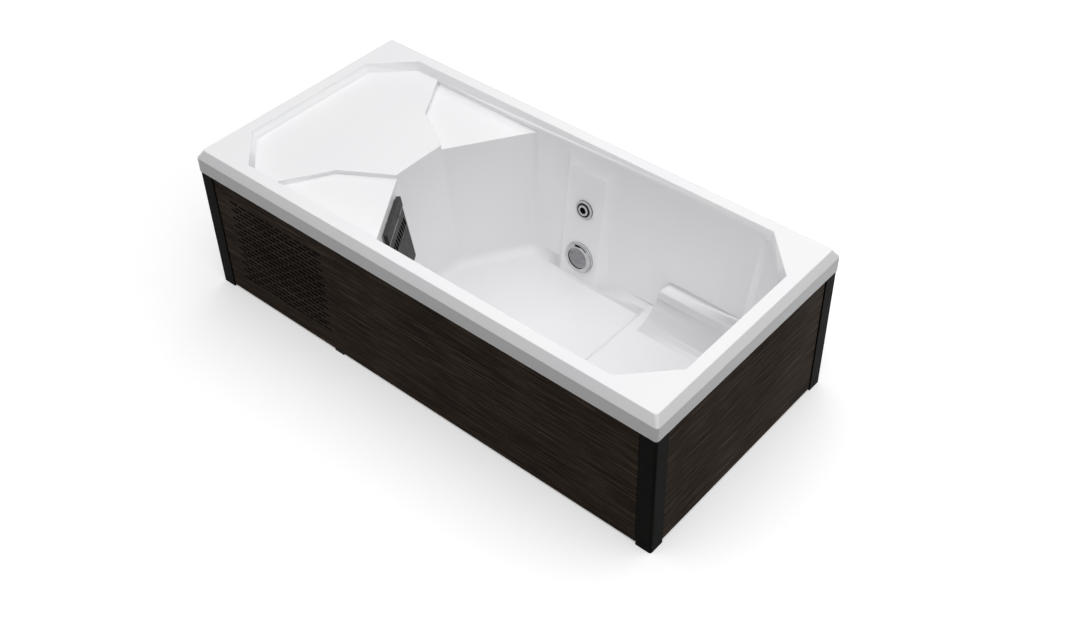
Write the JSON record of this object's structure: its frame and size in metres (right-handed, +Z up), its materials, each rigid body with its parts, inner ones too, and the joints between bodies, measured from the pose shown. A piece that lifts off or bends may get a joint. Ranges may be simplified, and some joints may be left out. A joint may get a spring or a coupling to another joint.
{
  "type": "cold plunge tub",
  "caption": "Free-standing cold plunge tub: white moulded shell with seat, armrests and deck over an equipment bay, dark vented skirt, with filter, pump, chiller, jet and drain.",
  "frame": {"origin": "on the floor, under the middle of the tub's bounding box", "axes": "+X along the tub towards the seat, +Y towards the back with the jet, +Z up"},
  "size_m": [2.01, 0.965, 0.597],
  "materials": {
    "acrylic": "white moulded acrylic, satin gloss",
    "frame_steel": "welded square tube, grey paint",
    "skirt_board": "dark espresso board with fine level streaks",
    "corner_black": "moulded black corner cover",
    "moulded_black": "moulded black plastic",
    "grille_charcoal": "moulded charcoal plastic, fine grain",
    "white_plastic": "white rigid pipe plastic",
    "fitting_pale": "pale grey moulded fitting",
    "screen_grey": "grey moulded plastic",
    "seal_rubber": "black seal",
    "filter_fleece": "white pleated filter fleece",
    "stainless": "plain stainless fastener",
    "motor_paint": "black painted casing",
    "impeller_plastic": "filled impeller plastic on a steel shaft",
    "coil_aluminium": "bare aluminium fins",
    "exchanger_plastic": "grey exchanger casing",
    "copper": "drawn copper line",
    "valve_brass": "turned valve brass"
  },
  "bodies": {
    "tub": {"acrylic_shell": "acrylic", "base_rails": "frame_steel", "cross_members": "frame_steel", "corner_legs": "frame_steel", "mid_legs": "frame_steel", "top_rails": "frame_steel", "foot_pads": "moulded_black", "base_sheet": "moulded_black", "plate_bolts": "stainless", "corner_post_front_deck": "corner_black", "corner_post_front_seat": "corner_black", "corner_post_back_deck": "corner_black", "corner_post_back_seat": "corner_black", "back_panel": "skirt_board", "deck_end_panel": "skirt_board", "seat_end_panel": "skirt_board", "panel_clips": "moulded_black", "skimmer_box": "white_plastic", "skimmer_gasket": "seal_rubber", "jet_gasket": "seal_rubber", "jet_fitting": "fitting_pale", "jet_nut": "white_plastic", "jet_body": "white_plastic", "suction_gasket": "seal_rubber", "suction_fitting": "fitting_pale", "suction_cover": "fitting_pale", "suction_screen": "screen_grey", "suction_screws": "stainless", "suction_nut": "white_plastic", "suction_body": "white_plastic", "suction_tee": "white_plastic", "suction_pipe": "white_plastic", "skimmer_pipe": "white_plastic", "pump_volute": "moulded_black", "pump_motor": "motor_paint", "pump_foot": "motor_paint", "equipment_plate": "frame_steel", "condenser_coil": "coil_aluminium", "fan_shroud": "motor_paint", "fan_motor": "motor_paint", "compressor": "motor_paint", "heat_exchanger": "exchanger_plastic", "chiller_pipe": "white_plastic", "return_pipe": "white_plastic", "gas_lines": "copper", "control_box": "moulded_black", "control_lid": "screen_grey", "drain_fitting": "white_plastic", "drain_pipe": "white_plastic", "service_recess": "moulded_black", "drain_valve": "valve_brass", "cable_gland": "moulded_black"},
    "front_panel": {"front_panel": "skirt_board"},
    "filter": {"skimmer_grille": "grille_charcoal", "filter_cartridge": "filter_fleece"},
    "jet_collar": {"jet_collar": "moulded_black"},
    "jet_nozzle": {"jet_nozzle": "fitting_pale"},
    "pump_rotor": {"pump_impeller": "impeller_plastic"},
    "fan": {"fan_rotor": "moulded_black"},
    "drain_handle": {"drain_handle": "moulded_black"}
  },
  "joints": [
    {"name": "front_panel_pull", "type": "slide", "parent": "tub", "child": "front_panel", "axis": [0, -1, 0], "range_m": [0, 0.3]},
    {"name": "filter_pull", "type": "slide", "parent": "tub", "child": "filter", "axis": [0.8297, 0.5408, 0.1386], "range_m": [0, 0.22]},
    {"name": "jet_collar_turn", "type": "hinge", "parent": "tub", "child": "jet_collar", "pos_m": [0.062, 0.35139, 0.35714], "axis": [0, -0.9903, 0.1386], "range_deg": [0, 120]},
    {"name": "jet_nozzle_tilt", "type": "hinge", "parent": "jet_collar", "child": "jet_nozzle", "pos_m": [0.062, 0.35139, 0.35714], "axis": [1, 0, 0], "range_deg": [-20, 20]},
    {"name": "pump_spin", "type": "hinge", "parent": "tub", "child": "pump_rotor", "pos_m": [-0.554, 0.38766, 0.1461], "axis": [1, 0, 0], "continuous": true},
    {"name": "fan_spin", "type": "hinge", "parent": "tub", "child": "fan", "pos_m": [-0.63395, -0.3805, 0.225], "axis": [0, 1, 0], "continuous": true},
    {"name": "drain_handle_turn", "type": "hinge", "parent": "tub", "child": "drain_handle", "pos_m": [-0.964, -0.23008, 0.124], "axis": [0, 0, 1], "range_deg": [0, 90]}
  ]
}
